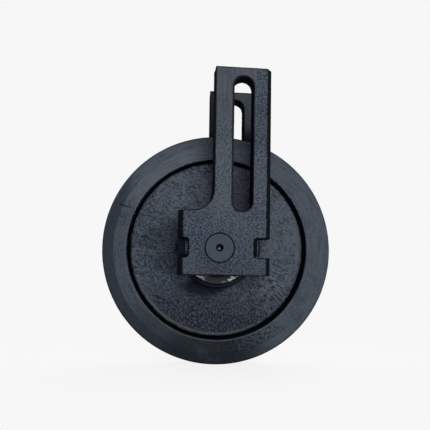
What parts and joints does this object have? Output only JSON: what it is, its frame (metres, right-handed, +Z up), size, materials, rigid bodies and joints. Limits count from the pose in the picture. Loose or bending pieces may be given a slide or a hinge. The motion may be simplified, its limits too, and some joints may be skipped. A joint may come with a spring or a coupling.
{
  "type": "track idler",
  "caption": "Front idler of a compact crawler excavator: cast wheel turning on a fixed shaft with sealed bronze bushes, held between slotted guide brackets.",
  "frame": {"origin": "centre of the wheel, on the shaft's axis half-way between the two brackets", "axes": "+Y along the shaft's axis, from the front bracket to the rear one; +Z up along the guide arms; +X to the right, towards the arms' guide faces"},
  "size_m": [0.334, 0.18, 0.4215],
  "materials": {
    "wheel_casting": "satin blue-black paint over a sand casting, bare on the hub ends",
    "bracket_casting": "satin blue-black paint over a rough casting",
    "shaft_steel": "painted turned end, bright ground steel inside",
    "bolt_steel": "blackened and painted over",
    "bronze": "machined",
    "seal_steel": "lapped face",
    "rubber": "matt"
  },
  "bodies": {
    "yoke": {"bracket_front": "bracket_casting", "bracket_rear": "bracket_casting", "shaft": "shaft_steel", "bracket_seal_ring_front": "seal_steel", "bracket_seal_ring_rear": "seal_steel", "bracket_toric_front": "rubber", "bracket_toric_rear": "rubber", "shaft_oring_front": "rubber", "shaft_oring_rear": "rubber", "lock_bolt_front": "bolt_steel", "lock_bolt_rear": "bolt_steel", "lock_nut_front": "bolt_steel", "lock_nut_rear": "bolt_steel", "lock_washer_front": "bolt_steel", "lock_washer_rear": "bolt_steel"},
    "wheel": {"idler_wheel": "wheel_casting", "bush_front": "bronze", "bush_rear": "bronze", "wheel_seal_ring_front": "seal_steel", "wheel_seal_ring_rear": "seal_steel", "wheel_toric_front": "rubber", "wheel_toric_rear": "rubber"}
  },
  "joints": [
    {"name": "wheel_spin", "type": "hinge", "parent": "yoke", "child": "wheel", "pos_m": [0, 0, 0], "axis": [0, 1, 0], "continuous": true}
  ]
}
